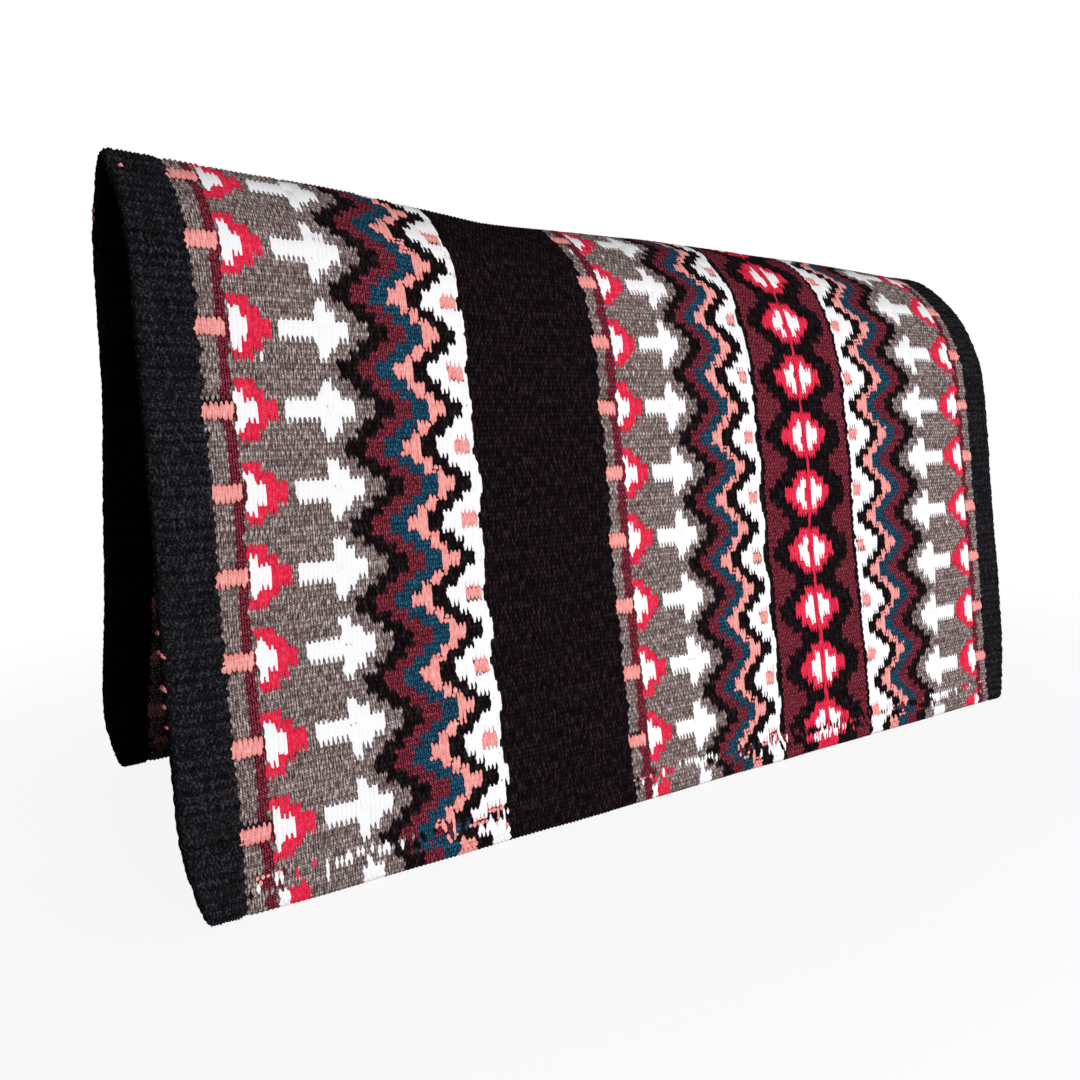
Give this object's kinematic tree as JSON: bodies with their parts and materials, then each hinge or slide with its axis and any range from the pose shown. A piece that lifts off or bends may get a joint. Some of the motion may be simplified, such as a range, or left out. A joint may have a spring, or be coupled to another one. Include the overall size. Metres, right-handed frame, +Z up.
{
  "type": "saddle blanket",
  "caption": "Woven wool saddle blanket standing folded over its ridge, with two hanging flaps that hinge from an arched crown and patterned weft bands between plain edge bands.",
  "frame": {"origin": "on the floor below the middle of the ridge, at the centre of the bounding box's base", "axes": "+X along the ridge from the front edge to the rear edge, -Y towards the near side, +Z up"},
  "size_m": [0.864, 0.3626, 0.4659],
  "materials": {
    "black_wool": "matte woven wool",
    "grey_wool": "matte woven wool",
    "burgundy_wool": "matte woven wool"
  },
  "bodies": {
    "near_crown": {"near_crown_front_edge": "black_wool", "near_crown_front_border": "grey_wool", "near_crown_plain_field": "black_wool", "near_crown_middle_border": "grey_wool", "near_crown_centre_band": "burgundy_wool", "near_crown_rear_border": "grey_wool", "near_crown_rear_edge": "black_wool"},
    "far_crown": {"far_crown_front_edge": "black_wool", "far_crown_front_border": "grey_wool", "far_crown_plain_field": "black_wool", "far_crown_middle_border": "grey_wool", "far_crown_centre_band": "burgundy_wool", "far_crown_rear_border": "grey_wool", "far_crown_rear_edge": "black_wool"},
    "near_flap": {"near_flap_front_edge": "black_wool", "near_flap_front_border": "grey_wool", "near_flap_plain_field": "black_wool", "near_flap_middle_border": "grey_wool", "near_flap_centre_band": "burgundy_wool", "near_flap_rear_border": "grey_wool", "near_flap_rear_edge": "black_wool"},
    "far_flap": {"far_flap_front_edge": "black_wool", "far_flap_front_border": "grey_wool", "far_flap_plain_field": "black_wool", "far_flap_middle_border": "grey_wool", "far_flap_centre_band": "burgundy_wool", "far_flap_rear_border": "grey_wool", "far_flap_rear_edge": "black_wool"}
  },
  "joints": [
    {"name": "ridge_fold", "type": "hinge", "parent": "near_crown", "child": "far_crown", "pos_m": [0, 0, 0.455], "axis": [0.9999, 0, -0.0139], "range_deg": [0, 50]},
    {"name": "near_flap_drape", "type": "hinge", "parent": "near_crown", "child": "near_flap", "pos_m": [0, -0.07804, 0.36329], "axis": [-0.9987, 0.0482, -0.018], "range_deg": [-20, 75]},
    {"name": "far_flap_drape", "type": "hinge", "parent": "far_crown", "child": "far_flap", "pos_m": [0, 0.07804, 0.36329], "axis": [0.9987, 0.0482, 0.018], "range_deg": [-20, 75]}
  ]
}
